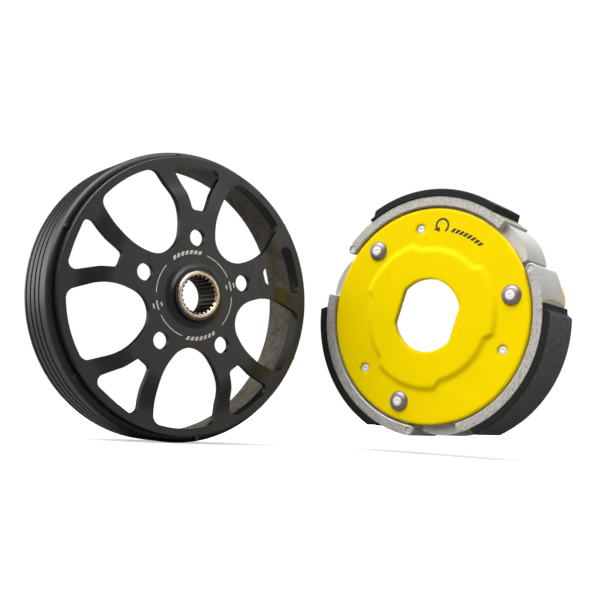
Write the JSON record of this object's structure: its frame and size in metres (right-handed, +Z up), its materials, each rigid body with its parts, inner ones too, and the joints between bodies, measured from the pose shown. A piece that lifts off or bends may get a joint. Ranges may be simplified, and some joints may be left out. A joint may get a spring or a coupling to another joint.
{
  "type": "scooter clutch bell and centrifugal clutch",
  "caption": "Spoked finned clutch bell with a splined hub, beside a centrifugal clutch with sprung, lined shoes between two round plates.",
  "frame": {"origin": "on the bell's bore axis, in the plane of the web's front face, at the centre of the tool-hole circle", "axes": "-Y is the way the bell's front faces, along its bore; +Z is up; +X points from the bell to the clutch"},
  "size_m": [0.2179, 0.132, 0.133],
  "materials": {
    "black_rim": "satin black coating over turned steel",
    "black_web": "satin black hard coating over machined aluminium",
    "sleeve_steel": "machined steel with a light bronze tint",
    "yellow_plate": "gloss powder coat",
    "pin_steel": "riveted steel",
    "clip_steel": "dark spring steel",
    "cast_aluminium": "as cast, speckled",
    "friction_lining": "moulded friction material with fine fibres",
    "spring_steel": "drawn spring wire",
    "damper_rubber": "matt black"
  },
  "bodies": {
    "bell": {"bell_rim": "black_rim", "bell_web": "black_web", "splined_hub": "sleeve_steel"},
    "clutch_carrier": {"drive_plate": "yellow_plate", "side_plate": "yellow_plate", "pivot_pin_1": "pin_steel", "damper_pin_1": "pin_steel", "damper_rubber_1": "damper_rubber", "e_clip_1": "clip_steel", "pivot_pin_2": "pin_steel", "damper_pin_2": "pin_steel", "damper_rubber_2": "damper_rubber", "e_clip_2": "clip_steel", "pivot_pin_3": "pin_steel", "damper_pin_3": "pin_steel", "damper_rubber_3": "damper_rubber", "e_clip_3": "clip_steel", "spring_1": "spring_steel", "spring_2": "spring_steel", "spring_3": "spring_steel"},
    "shoe_1": {"shoe_1": "cast_aluminium", "lining_1": "friction_lining"},
    "shoe_2": {"shoe_2": "cast_aluminium", "lining_2": "friction_lining"},
    "shoe_3": {"shoe_3": "cast_aluminium", "lining_3": "friction_lining"}
  },
  "joints": [
    {"name": "clutch_spin", "type": "hinge", "parent": "bell", "child": "clutch_carrier", "pos_m": [0.1047, -0.0399, -0.0005], "axis": [-0.9444, -0.3289, 0], "continuous": true},
    {"name": "shoe_1_swing", "type": "hinge", "parent": "clutch_carrier", "child": "shoe_1", "pos_m": [0.1187, -0.08011, 0.0084], "axis": [-0.9444, -0.3289, 0], "range_deg": [0, 2.5], "stiffness_Nm_per_rad": 12, "springref_deg": -5.73, "deforming": ["spring_1"]},
    {"name": "shoe_2_swing", "type": "hinge", "parent": "clutch_carrier", "child": "shoe_2", "pos_m": [0.09516, -0.01252, 0.03193], "axis": [-0.9444, -0.3289, 0], "range_deg": [0, 2.5], "stiffness_Nm_per_rad": 12, "springref_deg": -5.73, "deforming": ["spring_2"]},
    {"name": "shoe_3_swing", "type": "hinge", "parent": "clutch_carrier", "child": "shoe_3", "pos_m": [0.10023, -0.02707, -0.04182], "axis": [-0.9444, -0.3289, 0], "range_deg": [0, 2.5], "stiffness_Nm_per_rad": 12, "springref_deg": -5.73, "deforming": ["spring_3"]}
  ]
}
